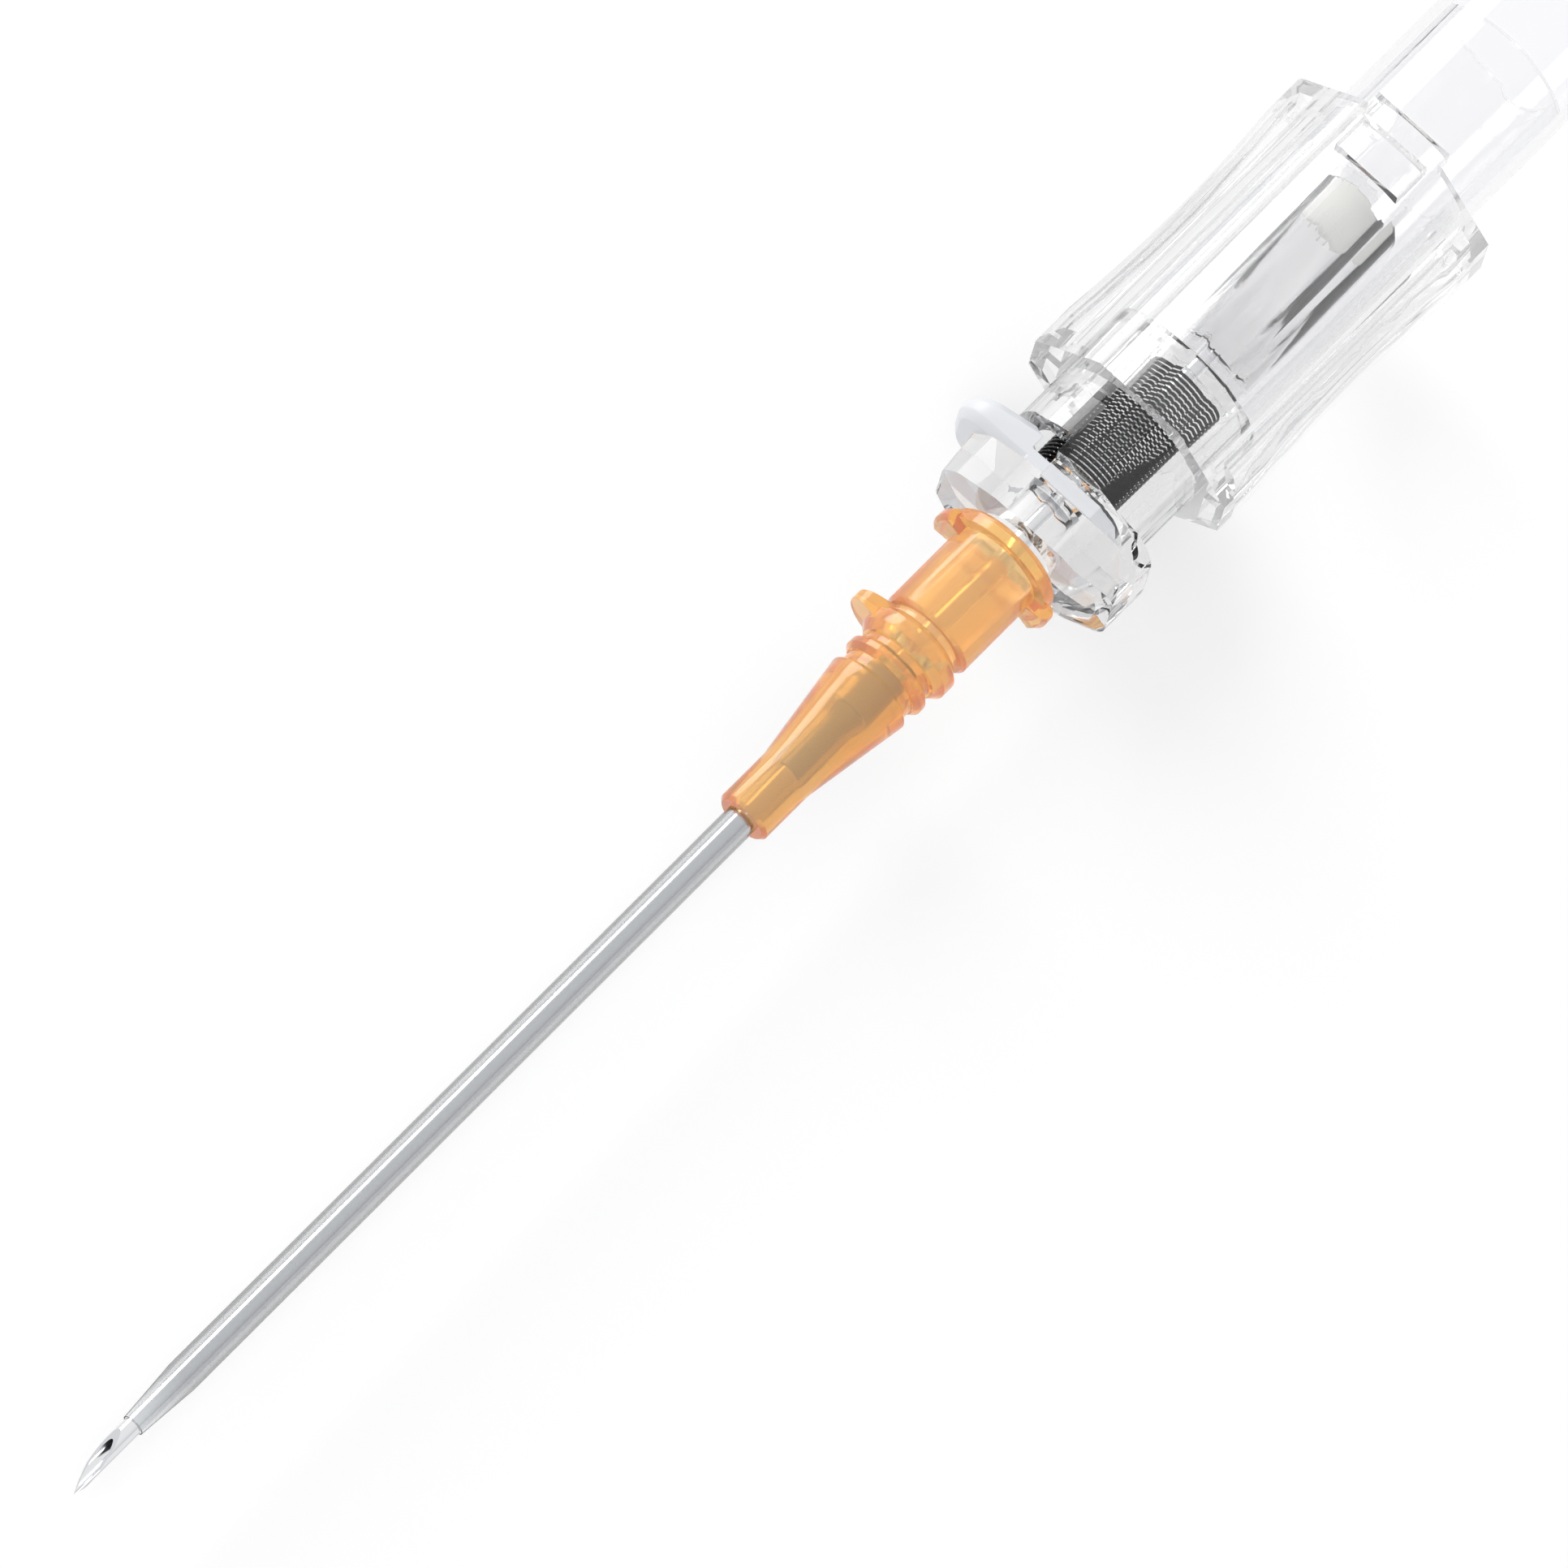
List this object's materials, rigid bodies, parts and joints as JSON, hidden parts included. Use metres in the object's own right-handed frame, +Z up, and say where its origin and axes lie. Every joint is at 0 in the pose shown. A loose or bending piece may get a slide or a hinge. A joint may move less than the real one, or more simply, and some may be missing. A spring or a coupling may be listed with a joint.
{
  "type": "iv cannula",
  "caption": "Safety IV cannula with a winged clear grip, an orange luer hub and a push button that lets a spring pull the needle back into its barrel.",
  "frame": {"origin": "centre of the catheter hub's luer mouth, on the needle axis", "axes": "+X along the needle axis towards the rear, +Y the side of the button, +Z up, with the wings flat in the XY plane"},
  "size_m": [0.1737, 0.0134, 0.0104],
  "materials": {
    "clear_tube": "clear soft fluoropolymer",
    "wedge_steel": "drawn",
    "orange_hub": "translucent gloss",
    "needle_steel": "polished",
    "clear_carriage": "clear gloss",
    "porous_plug": "porous matte",
    "spring_steel": "dark wire",
    "white_button": "satin",
    "clear_housing": "clear gloss",
    "clear_grip": "clear gloss",
    "clear_barrel": "clear gloss"
  },
  "bodies": {
    "housing": {"nose_housing": "clear_housing", "finger_grip": "clear_grip", "barrel_tube": "clear_barrel", "retraction_spring": "spring_steel"},
    "button": {"release_button": "white_button"},
    "carriage": {"needle": "needle_steel", "needle_hub": "clear_carriage", "vent_plug": "porous_plug"},
    "catheter": {"catheter_tube": "clear_tube", "catheter_wedge": "wedge_steel", "catheter_hub": "orange_hub"}
  },
  "joints": [
    {"name": "button_press", "type": "slide", "parent": "housing", "child": "button", "axis": [0, -1, 0], "range_m": [0, 0.0012]},
    {"name": "needle_retract", "type": "slide", "parent": "housing", "child": "carriage", "axis": [1, 0, 0], "range_m": [0, 0.075], "deforming": ["retraction_spring"]},
    {"name": "catheter_advance", "type": "slide", "parent": "housing", "child": "catheter", "axis": [-1, 0, 0], "range_m": [0, 0.072]}
  ]
}
